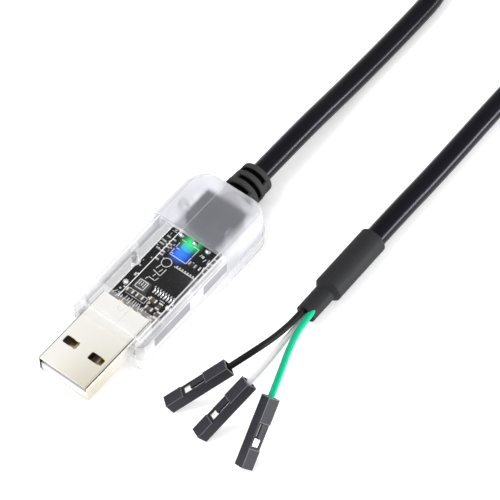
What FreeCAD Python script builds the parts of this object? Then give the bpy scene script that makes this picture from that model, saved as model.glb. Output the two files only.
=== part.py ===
import FreeCAD, Part
import math
import os

# A USB to serial adapter: a metal plug on a small board, closed in a clear two-part housing,
# with a ribbed strain relief, a round cable, a shrink sleeve and three wires with pin sockets.
# X runs along the adapter from the plug's nose, Z is up and all sizes are in millimetres.
Vector = FreeCAD.Vector
X_AXIS = Vector(1, 0, 0)
Y_AXIS = Vector(0, 1, 0)
Z_AXIS = Vector(0, 0, 1)

# Driving sizes of the plug
plug_width = 12.0
plug_height = 4.5
plug_length = 19.0
plug_reach = 12.3
sheet = 0.3
shell_corner = 0.55
window_length = 1.8
window_width = 3.2
window_corner = 0.4
window_from_nose = 5.35
window_spacing = 6.15
leg_length = 1.8
leg_from_rear = 1.0
seam_width = 0.12
insulator_recess = 0.35
tongue_thickness = 1.95
insulator_block_from_nose = 9.4
insulator_block_length = 8.6
contact_width = 1.0
contact_thickness = 0.25
contact_rise = 0.1
contact_from_nose = 1.2
contact_inner_pitch = 2.0
contact_outer_pitch = 7.0
contact_overhang = 0.7
contact_foot = 1.6

# Driving sizes of the housing
housing_length = 40.6
housing_width = 18.2
side_wall = 1.5
floor_wall = 1.15
roof_wall = 1.15
roof_height = 8.8
front_corner = 1.7
rear_corner = 5.0
roof_round = 1.5
floor_round = 0.5
side_ledge = 0.5
inner_corner = 1.0
parting_height = 3.3
lip_height = 1.0
lip_thickness = 0.6
fit_clearance = 0.05
post_diameter = 2.4
pin_diameter = 1.2
pin_depth = 1.4
front_post_setback = 2.0
middle_post_setback = 18.0
post_inset = 0.0
rear_post_setback = 31.4
rear_post_pitch = 11.6

# Driving sizes of the board and what is soldered to it, with places across as a share of its half width
board_length = 27.9
board_side_gap = 0.9
board_thickness = 1.0
board_setback = 0.1
chip_length = 5.3
chip_width = 5.4
chip_height = 1.4
chip_standoff = 0.1
chip_chamfer = 0.12
chip_from_board_rear = 11.4
chip_offset = -2.3
lead_count = 8
lead_pitch = 0.65
lead_width = 0.3
lead_thickness = 0.15
lead_shoulder = 0.45
lead_foot = 0.8
led_length = 2.0
led_width = 1.25
led_height = 0.75
led_round = 0.15
led_offset = 1.2
green_from_board_rear = 3.15
blue_from_board_rear = 5.15
resistor_length = 1.6
resistor_width = 0.8
resistor_height = 0.45
capacitor_height = 0.8
fuse_length = 2.6
fuse_width = 3.0
fuse_height = 1.0
fuse_chamfer = 0.1
fuse_from_board_rear = 15.6
fuse_offset = 2.3
joint_diameter = 1.5
joint_height = 0.6
joint_from_board_rear = 1.2
inner_core_diameter = 0.6
strip_gap = 0.1

# Driving sizes of the strain relief, which is moulded onto the cable
block_length = 5.4
block_width = 9.2
block_headroom = 0.3
block_from_board_rear = 0.9
block_round = 0.6
groove_width = 0.5
groove_depth = 0.5
flange_thickness = 0.9
neck_diameter = 5.6
ring_count = 3
ring_thickness = 1.2
ring_gap = 1.1
ring_round = 0.25
first_ring_diameter = 7.7
last_ring_diameter = 7.1
bridge_setback = 0.15
bridge_width = 2.6
bridge_angles = (65.0, -55.0, 80.0)

# Driving sizes of the cable, its coil and the sleeve on its end
cable_diameter = 4.4
coil_turns = 5.5
coil_radius = 22.0
turn_pitch = 4.5
coil_centre = (152.7, -13.3)
coil_tail = 17.0
coil_flat = 0.2
tie_thickness = 0.5
tie_bulge = 0.35
tie_width = 3.0
tie_clearance = 0.15
sleeve_diameter = 5.8
sleeve_wide_length = 14.7
sleeve_narrow_length = 6.2
sleeve_shoulder = 1.0
sleeve_narrow_width = 4.2
sleeve_narrow_height = 3.7
sleeve_cover = 13.1

# Driving sizes of the wires and their pin sockets
wire_diameter = 1.3
wire_spacing = 0.68
wire_rise = 0.36
wire_drop = 0.8
socket_length = 14.0
socket_side = 2.54
socket_wall = 0.3
nose_wall = 0.6
pin_hole = 0.9
window_start = 3.9
window_end = 9.0
window_recess = 0.25
latch_hole_width = 1.5
latch_hole_start = 4.4
latch_length = 3.1
latch_width = 1.0
latch_thickness = 0.35
latch_root = 0.2
terminal_side = 1.7
terminal_length = 5.6
terminal_setback = 0.1
terminal_sheet = 0.2
terminal_back = 0.7
crimp_diameter = 1.75
crimp_inset = 3.6

# How far a piece runs into one that it is joined to, and how far a cut runs past a face
merge = 0.2
past = 1.0

# Places worked out from the sizes above
board_width = housing_width - 2 * (side_wall + board_side_gap)
block_height = roof_height - roof_wall - floor_wall - block_headroom
joint_pitch = 0.36 * block_width
joint_offset = block_width / 12
relief_reach = ring_count * (ring_thickness + ring_gap)
body_length = plug_reach + housing_length + relief_reach
nose_x = -body_length / 2
housing_front = nose_x + plug_reach
housing_rear = housing_front + housing_length
relief_end = housing_rear + relief_reach
housing_half = housing_width / 2
board_top = floor_wall + board_thickness
board_front = housing_front + side_wall + board_setback
board_rear = board_front + board_length
plug_bottom = board_top
plug_top = plug_bottom + plug_height
plug_rear = nose_x + plug_length
axis_height = plug_bottom + plug_height / 2
block_front = board_rear + block_from_board_rear
block_rear = block_front + block_length + groove_width + flange_thickness
cable_radius = cable_diameter / 2
coil_width = coil_turns / 2 * turn_pitch
outer_turn = coil_radius + coil_width / 2
coil_base = tie_thickness + tie_clearance
coil_low = coil_base + cable_radius
coil_high = coil_low + turn_pitch
coil_face = coil_centre[0] - coil_tail
sleeve_height = sleeve_diameter / 2
wire_radius = wire_diameter / 2

# Routes, as points chosen by hand along the middle of each cord
cable_out_route = [
    (relief_end, 0.0, axis_height),
    (44.7, 0.0, 4.4),
    (60.7, 0.3, cable_radius),
    (79.7, 0.0, cable_radius),
    (96.7, 0.3, cable_radius),
    (118.2, coil_centre[1] + outer_turn, coil_low),
    (coil_face, coil_centre[1] + outer_turn, coil_low),
]
cable_back_route = [
    (coil_face, coil_centre[1] - outer_turn, coil_high),
    (118.7, coil_centre[1] - outer_turn, coil_high),
    (96.2, -26.9, cable_radius),
    (76.7, -26.5, cable_radius),
    (52.7, -26.7, cable_radius),
    (40.2, -26.6, sleeve_height),
    (19.2, -26.6, sleeve_height),
]
sleeve_y = cable_back_route[-1][1]
wire_start = cable_back_route[-1][0]
sleeve_rear = wire_start + sleeve_cover
black_start = (wire_start, sleeve_y + wire_spacing, sleeve_height + wire_rise)
white_start = (wire_start, sleeve_y, sleeve_height - wire_drop)
green_start = (wire_start, sleeve_y - wire_spacing, sleeve_height + wire_rise)


def box(x0, x1, y0, y1, z0, z1):
    return Part.makeBox(x1 - x0, y1 - y0, z1 - z0, Vector(x0, y0, z0))


def cylinder(diameter, start, end):
    start, end = Vector(*start), Vector(*end)
    return Part.makeCylinder(diameter / 2, (end - start).Length, start, end - start)


def join(solids):
    result = solids[0]
    for solid in solids[1:]:
        result = result.fuse(solid)
    return result.removeSplitter()


def rounded_box(x0, x1, y0, y1, z0, z1, radius, direction):
    solid = box(x0, x1, y0, y1, z0, z1)
    edges = [e for e in solid.Edges if abs(e.tangentAt(e.FirstParameter).dot(direction)) > 0.99]
    return solid.makeFillet(radius, edges)


def plan_prism(x0, x1, half_width, front_radius, rear_radius, z0, z1):
    # A block whose four upright corners are round, the two at the front unlike the two at the rear
    solid = box(x0, x1, -half_width, half_width, z0, z1)
    upright = [e for e in solid.Edges if abs(e.Vertexes[0].Z - e.Vertexes[-1].Z) > 0.5 * (z1 - z0)]
    front = [e for e in upright if e.Vertexes[0].X < (x0 + x1) / 2]
    rear = [e for e in upright if e.Vertexes[0].X > (x0 + x1) / 2]
    solid = solid.makeFillet(front_radius, front)
    places = [e.CenterOfMass for e in rear]
    again = [e for e in solid.Edges if any((e.CenterOfMass - p).Length < 1e-3 for p in places)]
    return solid.makeFillet(rear_radius, again)


def edges_at_height(solid, height):
    return [e for e in solid.Edges if all(abs(v.Z - height) < 1e-4 for v in e.Vertexes)]


def mirrored(solid):
    return [solid, solid.mirror(Vector(0, 0, 0), Vector(0, 1, 0))]


def tube_path(points):
    # Straight runs joined by tangent arcs, each as large as the two runs beside it allow
    points = [Vector(*p) for p in points]
    edges = []
    radii = []
    last = points[0]
    for before, corner, after in zip(points, points[1:], points[2:]):
        arriving = (corner - before).normalize()
        leaving = (after - corner).normalize()
        half_turn = arriving.getAngle(leaving) / 2
        setback = 0.45 * min((corner - before).Length, (after - corner).Length)
        radius = setback / math.tan(half_turn)
        radii.append(round(radius, 1))
        start = corner - arriving * setback
        end = corner + leaving * setback
        inward = (leaving - arriving).normalize()
        middle = corner + inward * (radius / math.cos(half_turn) - radius)
        edges.append(Part.LineSegment(last, start).toShape())
        edges.append(Part.Arc(start, middle, end).toShape())
        last = end
    edges.append(Part.LineSegment(last, points[-1]).toShape())
    return Part.Wire(edges), radii


def tube(name, points, diameter):
    path, radii = tube_path(points)
    start = Vector(*points[0])
    ring = Part.Wire(Part.makeCircle(diameter / 2, start, Vector(*points[1]) - start))
    solid = path.makePipeShell([ring], True, False)
    expected = math.pi * diameter ** 2 / 4 * path.Length
    print(name, "length", round(path.Length, 1), "radii", radii,
          "volume ratio", round(solid.Volume / expected, 4))
    return solid


# The plug's shell is one folded sheet, with two windows above and two below
def make_usb_shell():
    outer = rounded_box(nose_x, plug_rear, -plug_width / 2, plug_width / 2,
                        plug_bottom, plug_top, shell_corner, X_AXIS)
    inner = rounded_box(nose_x - 1, plug_rear + 1, -plug_width / 2 + sheet, plug_width / 2 - sheet,
                        plug_bottom + sheet, plug_top - sheet, shell_corner - sheet, X_AXIS)
    shell = outer.cut(inner)
    window_x = nose_x + window_from_nose
    for side in (-1, 1):
        y = side * window_spacing / 2
        window = rounded_box(window_x, window_x + window_length, y - window_width / 2,
                             y + window_width / 2, plug_bottom - 1, plug_top + 1, window_corner, Z_AXIS)
        shell = shell.cut(window)
    seam = box(nose_x - 1, plug_rear + 1, -seam_width / 2, seam_width / 2, plug_bottom - 1, plug_bottom + 1)
    shell = shell.cut(seam)
    leg_x = plug_rear - leg_from_rear - leg_length
    leg = box(leg_x, leg_x + leg_length, plug_width / 2 - sheet, plug_width / 2,
              floor_wall, plug_bottom + shell_corner)
    return join([shell] + mirrored(leg))


def contact_places():
    inner, outer = contact_inner_pitch / 2, contact_outer_pitch / 2
    return [-outer, -inner, inner, outer]


def make_contact(y):
    top = plug_bottom + sheet + tongue_thickness + contact_rise
    low = top - contact_thickness
    y0, y1 = y - contact_width / 2, y + contact_width / 2
    end = plug_rear + contact_overhang
    strip = box(nose_x + contact_from_nose, end, y0, y1, low, top)
    drop = box(end - contact_thickness, end, y0, y1, board_top, top)
    foot = box(end - contact_thickness, end + contact_foot, y0, y1, board_top, board_top + contact_thickness)
    return join([strip, drop, foot])


def make_usb_contacts():
    return Part.makeCompound([make_contact(y) for y in contact_places()])


# The insulator is a thin tongue under the contacts and a block that fills the shell behind it
def make_usb_insulator():
    half = plug_width / 2 - sheet - fit_clearance
    low = plug_bottom + sheet + fit_clearance
    block_x = nose_x + insulator_block_from_nose
    filling = rounded_box(nose_x + insulator_recess, block_x + insulator_block_length, -half, half,
                          low, plug_top - sheet - fit_clearance, shell_corner - sheet, X_AXIS)
    mouth = box(nose_x, block_x, -half - 1, half + 1, plug_bottom + sheet + tongue_thickness, plug_top)
    insulator = filling.cut(mouth)
    for y in contact_places():
        insulator = insulator.cut(make_contact(y))
    return insulator


# The housing is two clear shells that meet at a lip and are held by pins in round posts. The lower one
# stands out at the sides by a narrow ledge.
def housing_shell(half_width, z0, z1, outer_face, radius):
    outer = plan_prism(housing_front, housing_rear, half_width, front_corner, rear_corner, z0, z1)
    outer = outer.makeFillet(radius, edges_at_height(outer, outer_face))
    inner = housing_cavity(side_wall, floor_wall, roof_height - roof_wall)
    mouth = box(housing_front - 1, housing_front + side_wall + 1, -plug_width / 2 - fit_clearance,
                plug_width / 2 + fit_clearance, plug_bottom, plug_top + fit_clearance)
    hole = cylinder(neck_diameter + 2 * fit_clearance,
                    (housing_rear - side_wall - 1, 0, axis_height), (housing_rear + 1, 0, axis_height))
    return outer.cut(inner).cut(mouth).cut(hole)


def housing_cavity(wall, z0, z1):
    return plan_prism(housing_front + wall, housing_rear - wall, housing_half - wall,
                      inner_corner, rear_corner - wall, z0, z1)


def post_places():
    inset = housing_half - side_wall + post_inset
    return [(housing_front + front_post_setback, inset), (housing_front + middle_post_setback, inset),
            (housing_front + rear_post_setback, rear_post_pitch / 2)]


def posts(diameter, z0, z1):
    result = []
    for x, y in post_places():
        result += mirrored(cylinder(diameter, (x, y, z0), (x, y, z1)))
    return result


def leg_slots(z0, z1):
    # Room for the shell's two legs, which go down through the board to the housing's floor
    leg_x = plug_rear - leg_from_rear - leg_length
    return mirrored(box(leg_x - fit_clearance, leg_x + leg_length + fit_clearance,
                        plug_width / 2 - sheet - fit_clearance, plug_width / 2 + fit_clearance, z0, z1))


def plug_keepout():
    margin = plug_width / 2 + fit_clearance
    plug = box(nose_x, plug_rear, -margin, margin, plug_bottom, plug_top + fit_clearance)
    return join([plug] + leg_slots(floor_wall, plug_bottom + merge))


def lip_ring(wall_out, wall_in, z0, z1):
    ring = housing_cavity(wall_out, z0, z1).cut(housing_cavity(wall_in, z0 - 1, z1 + 1))
    gate = box(housing_front - 1, housing_front + front_post_setback + post_diameter,
               -housing_half, housing_half, z0 - 1, z1 + 1)
    port = box(housing_rear - side_wall - rear_corner, housing_rear + 1, -neck_diameter / 2 - 1,
               neck_diameter / 2 + 1, z0 - 1, z1 + 1)
    return ring.cut(gate).cut(port)


def make_housing_bottom():
    shell = housing_shell(housing_half + side_ledge, 0, parting_height, 0, floor_round)
    lip = lip_ring(side_wall - lip_thickness, side_wall, parting_height, parting_height + lip_height)
    seat = posts(post_diameter, floor_wall - merge, parting_height)
    bottom = join([shell, lip] + seat)
    for hole in posts(pin_diameter + 2 * fit_clearance, parting_height - pin_depth - fit_clearance,
                      parting_height + lip_height + past):
        bottom = bottom.cut(hole)
    return bottom.cut(plug_keepout())


def make_housing_top():
    shell = housing_shell(housing_half, parting_height, roof_height, roof_height, roof_round)
    rebate = lip_ring(side_wall - lip_thickness - fit_clearance, side_wall + fit_clearance,
                      parting_height, parting_height + lip_height + fit_clearance)
    shell = shell.cut(rebate)
    start = parting_height + lip_height + fit_clearance
    column = posts(post_diameter, start, roof_height - roof_wall + merge)
    pin = posts(pin_diameter, parting_height - pin_depth, start + merge)
    return join([shell] + column + pin).cut(plug_keepout())


# The board lies on the housing's floor and is notched round the two middle posts
def make_circuit_board():
    board = box(board_front, board_rear, -board_width / 2, board_width / 2, floor_wall, board_top)
    for cut in posts(post_diameter + 2 * fit_clearance, 0, roof_height) + leg_slots(0, board_top + past):
        board = board.cut(cut)
    return board


def chip_centre():
    return board_rear - chip_from_board_rear, chip_offset


def make_interface_chip():
    x, y = chip_centre()
    low = board_top + chip_standoff
    body = box(x - chip_length / 2, x + chip_length / 2, y - chip_width / 2, y + chip_width / 2,
               low, low + chip_height)
    return body.makeChamfer(chip_chamfer, edges_at_height(body, low + chip_height))


def make_chip_leads():
    x, y = chip_centre()
    shoulder_z = board_top + chip_standoff + chip_height / 2
    leads = []
    for side in (-1, 1):
        root = x + side * chip_length / 2
        bend = root + side * lead_shoulder
        tip = bend + side * lead_foot
        for i in range(lead_count):
            middle = y + (i - (lead_count - 1) / 2) * lead_pitch
            y0, y1 = middle - lead_width / 2, middle + lead_width / 2
            inner = bend - side * lead_thickness
            shoulder = box(min(root, bend), max(root, bend), y0, y1, shoulder_z, shoulder_z + lead_thickness)
            drop = box(min(inner, bend), max(inner, bend), y0, y1, board_top, shoulder_z + lead_thickness)
            foot = box(min(inner, tip), max(inner, tip), y0, y1, board_top, board_top + lead_thickness)
            leads.append(join([shoulder, drop, foot]))
    return Part.makeCompound(leads)


def led(from_rear):
    x = board_rear - from_rear
    base = box(x - led_width / 2, x + led_width / 2, led_offset - led_length / 2, led_offset + led_length / 2,
               board_top, board_top + led_height)
    return base.makeFillet(led_round, edges_at_height(base, board_top + led_height))


def small_part(place, height):
    # A two-ended chip part, given by its middle and the axis that it lies along
    x, y, axis = place
    along, across = resistor_length / 2, resistor_width / 2
    dx, dy = (along, across) if axis == "x" else (across, along)
    return box(x - dx, x + dx, y - dy, y + dy, board_top, board_top + height)


# Each chip resistor, capacitor and front solder joint: from the board's rear edge, share across, direction
resistor_places = [(3.9, 0.84, "x"), (3.9, 0.64, "x"), (6.0, 0.84, "x"), (6.0, 0.64, "x"), (8.1, 0.63, "x"),
                   (5.7, -0.33, "y"), (2.8, -0.75, "x"), (5.4, -0.79, "x")]
capacitor_places = [(17.9, 0.51, "y"), (17.9, 0.16, "y"), (16.9, -0.22, "y"), (17.4, -0.49, "x"),
                    (18.9, -0.3, "y"), (19.2, -0.63, "x")]
front_joint_places = [(16.5, 0.84), (16.3, -0.69)]


def on_board(places, height):
    half = board_width / 2
    return Part.makeCompound([small_part((board_rear - x, half * y, axis), height) for x, y, axis in places])


def make_resettable_fuse():
    x = board_rear - fuse_from_board_rear
    body = box(x - fuse_length / 2, x + fuse_length / 2, fuse_offset - fuse_width / 2,
               fuse_offset + fuse_width / 2, board_top, board_top + fuse_height)
    return body.makeChamfer(fuse_chamfer, edges_at_height(body, board_top + fuse_height))


def wire_pads():
    return [joint_offset + joint_pitch * step for step in (1, 0, -1)]


def core(y):
    height = board_top + joint_height - inner_core_diameter / 2
    x = board_rear - joint_from_board_rear
    return cylinder(inner_core_diameter, (x, y, height), (board_rear + strip_gap, y, height))


def make_solder_joints():
    # A low dome of solder on each pad, the rear three round the ends of the cable's wires
    rise = joint_diameter ** 2 / (8 * joint_height) + joint_height / 2
    spots = [(board_rear - joint_from_board_rear, y) for y in wire_pads()]
    spots += [(board_rear - x, y * board_width / 2) for x, y in front_joint_places]
    reach = joint_diameter
    domes = []
    for x, y in spots:
        ball = Part.makeSphere(rise, Vector(x, y, board_top + joint_height - rise))
        above = box(x - reach, x + reach, y - reach, y + reach, board_top, board_top + reach)
        domes.append(ball.common(above))
    for index, y in enumerate(wire_pads()):
        domes[index] = domes[index].cut(core(y))
    return Part.makeCompound(domes)


def make_inner_lead(y):
    height = board_top + joint_height - inner_core_diameter / 2
    jacket = cylinder(wire_diameter, (board_rear + strip_gap, y, height), (block_front, y, height))
    return join([jacket, core(y)])


# The strain relief: an inner block that can't pull out, a neck, and rings outside joined by bridges
def make_strain_relief():
    z0, z1 = floor_wall, floor_wall + block_height
    half = block_width / 2
    block = rounded_box(block_front, block_front + block_length, -half, half, z0, z1, block_round, X_AXIS)
    flange = rounded_box(block_rear - flange_thickness, block_rear, -half, half, z0, z1, block_round, X_AXIS)
    web = box(block_front + block_length - merge, block_rear - flange_thickness + merge,
              -half + groove_depth, half - groove_depth, z0 + groove_depth, z1 - groove_depth)
    neck = cylinder(neck_diameter, (block_rear - merge, 0, axis_height), (relief_end, 0, axis_height))
    parts = [block, web, flange, neck]
    for i in range(ring_count):
        share = i / (ring_count - 1)
        diameter = first_ring_diameter + share * (last_ring_diameter - first_ring_diameter)
        gap_start = housing_rear + i * (ring_thickness + ring_gap)
        ring_start = gap_start + ring_gap
        ring = cylinder(diameter, (ring_start, 0, axis_height), (ring_start + ring_thickness, 0, axis_height))
        outline = [e for e in ring.Edges if e.Curve.TypeId == "Part::GeomCircle"]
        parts.append(ring.makeFillet(ring_round, outline))
        reach = diameter / 2 - bridge_setback
        bar = box(gap_start, ring_start + ring_round + merge, -bridge_width / 2, bridge_width / 2,
                  axis_height - reach, axis_height + reach)
        bar.rotate(Vector(0, 0, axis_height), X_AXIS, bridge_angles[i])
        parts.append(bar)
    return join(parts)


# The cable's stored length is one ring, with a short straight tail for each end of the cable
def make_cable_coil():
    x, y = coil_centre
    reach = coil_width / 2 + cable_radius
    height = turn_pitch + cable_diameter
    base = Vector(x, y, coil_base)
    ring = Part.makeCylinder(coil_radius + reach, height, base)
    ring = ring.cut(Part.makeCylinder(coil_radius - reach, height, base))
    rims = [e for e in ring.Edges if e.Curve.TypeId == "Part::GeomCircle"]
    ring = ring.makeFillet(cable_radius - coil_flat, rims)
    tails = [cylinder(cable_diameter, (coil_face, y + side, z), (x, y + side, z))
             for side, z in ((outer_turn, coil_low), (-outer_turn, coil_high))]
    return join([ring] + tails)


def make_coil_tie():
    x, y = coil_centre
    reach = coil_width / 2 + cable_radius + tie_clearance
    top = coil_high + cable_radius + tie_clearance
    x0, x1 = x + coil_radius - reach, x + coil_radius + reach
    outer = rounded_box(x0 - tie_thickness, x1 + tie_thickness + tie_bulge, y - tie_width / 2,
                        y + tie_width / 2, 0, top + tie_thickness, cable_radius, Y_AXIS)
    hollow = rounded_box(x0, x1, y - tie_width, y + tie_width, tie_thickness, top,
                         cable_radius - tie_thickness, Y_AXIS)
    return outer.cut(hollow)


# The shrink sleeve grips the cable's end and narrows onto the three wires
def make_shrink_sleeve(wires):
    middle = sleeve_rear - sleeve_wide_length
    wide = cylinder(sleeve_diameter, (middle, sleeve_y, sleeve_height),
                    (sleeve_rear, sleeve_y, sleeve_height))

    def oval(x):
        centre = Vector(x, sleeve_y, sleeve_height)
        edge = Part.Ellipse(centre, sleeve_narrow_width / 2, sleeve_narrow_height / 2).toShape()
        edge.rotate(centre, Z_AXIS, 90)
        edge.rotate(centre, Y_AXIS, 90)
        return Part.Wire(edge)

    narrow_start = middle - sleeve_shoulder
    narrow = Part.Face(oval(narrow_start)).extrude(Vector(-sleeve_narrow_length, 0, 0))
    circle = Part.Wire(Part.makeCircle(sleeve_diameter / 2, Vector(middle, sleeve_y, sleeve_height), X_AXIS))
    shoulder = Part.makeLoft([circle, oval(narrow_start)], True)
    sleeve = join([wide, shoulder, narrow])
    sleeve = sleeve.cut(cylinder(cable_diameter, (wire_start, sleeve_y, sleeve_height),
                                 (sleeve_rear + past, sleeve_y, sleeve_height)))
    for wire in wires:
        sleeve = sleeve.cut(wire)
    return sleeve


class Socket:
    # A crimp housing for one pin, whose nose stands on the floor and whose wire end is raised
    def __init__(self, nose_x, nose_y, yaw, pitch, roll):
        turn = math.radians(roll % 90)
        height = socket_side / 2 * math.cos(math.radians(pitch)) * (math.cos(turn) + math.sin(turn))
        self.place = FreeCAD.Placement(Vector(nose_x, nose_y, height), FreeCAD.Rotation(yaw, -pitch, roll))

    def put(self, solid):
        placed = solid.copy()
        placed.Placement = self.place.multiply(placed.Placement)
        return placed

    def along(self, distance):
        point = self.place.multVec(Vector(distance, 0, 0))
        return (point.x, point.y, point.z)


def make_socket_housing(socket):
    half = socket_side / 2
    bore = half - socket_wall
    body = box(0, socket_length, -half, half, -half, half)
    body = body.cut(box(nose_wall, socket_length + past, -bore, bore, -bore, bore))
    body = body.cut(box(-past, nose_wall + past, -pin_hole / 2, pin_hole / 2, -pin_hole / 2, pin_hole / 2))
    body = body.cut(box(window_start, window_end, -half - past, half + past,
                        half - window_recess, half + past))
    body = body.cut(box(latch_hole_start, window_end - latch_root, -latch_hole_width / 2,
                        latch_hole_width / 2, 0, half + past))
    latch = box(window_end - latch_length, window_end, -latch_width / 2, latch_width / 2,
                bore, bore + latch_thickness)
    return socket.put(join([body, latch]))


def make_terminal(socket, wire):
    half = terminal_side / 2
    start = nose_wall + terminal_setback
    end = start + terminal_length
    case = box(start, end, -half, half, -half, half)
    inside = half - terminal_sheet
    case = case.cut(box(0, end - terminal_back, -inside, inside, -inside, inside))
    barrel = cylinder(crimp_diameter, (end - terminal_back / 2, 0, 0), (socket_length - crimp_inset, 0, 0))
    return socket.put(join([case, barrel])).cut(wire)


black_socket = Socket(-20.8, -17.9, -32.8, 30.0, -11.5)
white_socket = Socket(-22.4, -26.6, -16.7, 35.0, -15.4)
green_socket = Socket(-22.8, -37.3, 11.4, 35.0, 51.3)

# Where each wire ends in its socket, and how far behind the socket it starts to bend
wire_end = 8.2
black_straight = 4.3
white_straight = 3.2
green_straight = 3.8

black_wire_route = [
    black_start,
    (10.2, sleeve_y + wire_spacing, sleeve_height + wire_rise),
    (1.9, -27.0, 7.0),
    black_socket.along(socket_length + black_straight),
    black_socket.along(wire_end),
]
white_wire_route = [
    white_start,
    (10.2, sleeve_y, sleeve_height - wire_drop),
    (1.9, -28.2, 5.8),
    white_socket.along(socket_length + white_straight),
    white_socket.along(wire_end),
]
green_wire_route = [
    green_start,
    (10.2, sleeve_y - wire_spacing, sleeve_height + wire_rise),
    (1.2, -30.0, 7.3),
    green_socket.along(socket_length + green_straight),
    green_socket.along(wire_end),
]


def build():
    nodes = {
        "usb_shell": make_usb_shell(),
        "usb_insulator": make_usb_insulator(),
        "usb_contacts": make_usb_contacts(),
        "housing_bottom": make_housing_bottom(),
        "housing_top": make_housing_top(),
        "circuit_board": make_circuit_board(),
        "interface_chip": make_interface_chip(),
        "chip_leads": make_chip_leads(),
        "green_led": led(green_from_board_rear),
        "blue_led": led(blue_from_board_rear),
        "chip_resistors": on_board(resistor_places, resistor_height),
        "chip_capacitors": on_board(capacitor_places, capacitor_height),
        "resettable_fuse": make_resettable_fuse(),
        "solder_joints": make_solder_joints(),
        "strain_relief": make_strain_relief(),
        "cable_out": tube("cable_out", cable_out_route, cable_diameter),
        "cable_back": tube("cable_back", cable_back_route, cable_diameter),
        "cable_coil": make_cable_coil(),
        "coil_tie": make_coil_tie(),
    }
    for colour, y in zip(("white", "green", "black"), wire_pads()):
        nodes[colour + "_inner_lead"] = make_inner_lead(y)
    wires = []
    for colour, socket, route in (("black", black_socket, black_wire_route),
                                  ("white", white_socket, white_wire_route),
                                  ("green", green_socket, green_wire_route)):
        wire = tube(colour + "_wire", route, wire_diameter)
        wires.append(wire)
        nodes[colour + "_wire"] = wire
        nodes[colour + "_socket"] = make_socket_housing(socket)
        nodes[colour + "_terminal"] = make_terminal(socket, wire)
    nodes["shrink_sleeve"] = make_shrink_sleeve(wires)
    return nodes


os.makedirs("parts", exist_ok=True)
for name, shape in build().items():
    bounds = shape.BoundBox
    print(name, "solids", len(shape.Solids), "valid", shape.isValid(), "volume", round(shape.Volume, 2),
          "X", round(bounds.XMin, 2), round(bounds.XMax, 2),
          "Y", round(bounds.YMin, 2), round(bounds.YMax, 2),
          "Z", round(bounds.ZMin, 2), round(bounds.ZMax, 2))
    shape.exportStep("parts/" + name + ".step")
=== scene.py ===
import math

import bmesh
import bpy
from mathutils import Matrix, Vector


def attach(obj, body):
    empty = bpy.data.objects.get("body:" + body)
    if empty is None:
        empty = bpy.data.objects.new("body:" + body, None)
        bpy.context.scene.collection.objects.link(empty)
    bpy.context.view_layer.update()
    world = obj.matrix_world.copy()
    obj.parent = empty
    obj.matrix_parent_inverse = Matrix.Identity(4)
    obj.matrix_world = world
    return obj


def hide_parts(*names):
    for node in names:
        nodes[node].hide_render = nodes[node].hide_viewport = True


# Sizes below are in millimetres, as on the adapter's drawing, and are turned into metres by MM.
MM = 0.001
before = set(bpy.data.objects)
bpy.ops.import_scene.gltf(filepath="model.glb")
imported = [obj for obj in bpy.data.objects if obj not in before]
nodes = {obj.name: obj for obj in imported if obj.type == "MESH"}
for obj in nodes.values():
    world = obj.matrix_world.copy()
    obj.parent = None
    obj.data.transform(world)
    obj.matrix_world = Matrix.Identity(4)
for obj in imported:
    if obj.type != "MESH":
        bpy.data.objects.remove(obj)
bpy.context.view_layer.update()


def metres(point):
    return Vector(point) * MM


# The studio: a white sweep under a bright sky. The patch of sky that level faces mirror to the camera
# is slightly greyer, and a low lamp on the wires' side gives the round cable its edge of light.
camera_place = (-194.87, -172.21, 388.29)
camera_tilt = 34.651
camera_turn = -52.222
sensor_width = 36.0
camera_lens = 172.8
floor_reach = 1500.0
flag_edge = 0.88
flag_softness = 0.05
flag_colour = (0.84, 0.83, 0.81)
sky_white = (1.0, 1.0, 1.0)
floor_grey = (0.85, 0.85, 0.85)
floor_glow = 0.32

scene = bpy.context.scene
scene.view_settings.view_transform = "Standard"


def make_camera():
    data = bpy.data.cameras.new("camera")
    data.sensor_width = sensor_width
    data.lens = camera_lens
    data.clip_start = 0.01
    data.clip_end = 20.0
    camera = bpy.data.objects.new("camera", data)
    camera.location = metres(camera_place)
    camera.rotation_euler = (math.radians(camera_tilt), 0.0, math.radians(camera_turn))
    scene.collection.objects.link(camera)
    scene.camera = camera


class Field:
    """A number that varies over a surface, on which maths is written as on plain numbers."""

    def __init__(self, finish, socket):
        self.finish = finish
        self.socket = socket

    def maths(self, operation, *values):
        return self.finish.node("ShaderNodeMath", {"operation": operation}, dict(enumerate(values)))

    def __add__(self, other):
        return self.maths("ADD", self, other)

    def __radd__(self, other):
        return self.maths("ADD", other, self)

    def __sub__(self, other):
        return self.maths("SUBTRACT", self, other)

    def __rsub__(self, other):
        return self.maths("SUBTRACT", other, self)

    def capped(self, limit=1.0):
        return self.maths("MINIMUM", self, limit)

    def __mul__(self, other):
        return self.maths("MULTIPLY", self, other)

    def __rmul__(self, other):
        return self.maths("MULTIPLY", other, self)

    def __truediv__(self, other):
        return self.maths("DIVIDE", self, other)

    def __pow__(self, other):
        return self.maths("POWER", self, other)

    def size(self):
        return self.maths("ABSOLUTE", self)

    def above(self, edge, soft=0.05):
        settings = {"interpolation_type": "SMOOTHSTEP"}
        return self.finish.node("ShaderNodeMapRange", settings,
                                {"Value": self, "From Min": edge - soft, "From Max": edge + soft})

    def within(self, low, high, soft=0.05):
        return self.above(low, soft) * (1.0 - self.above(high, soft))


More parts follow.
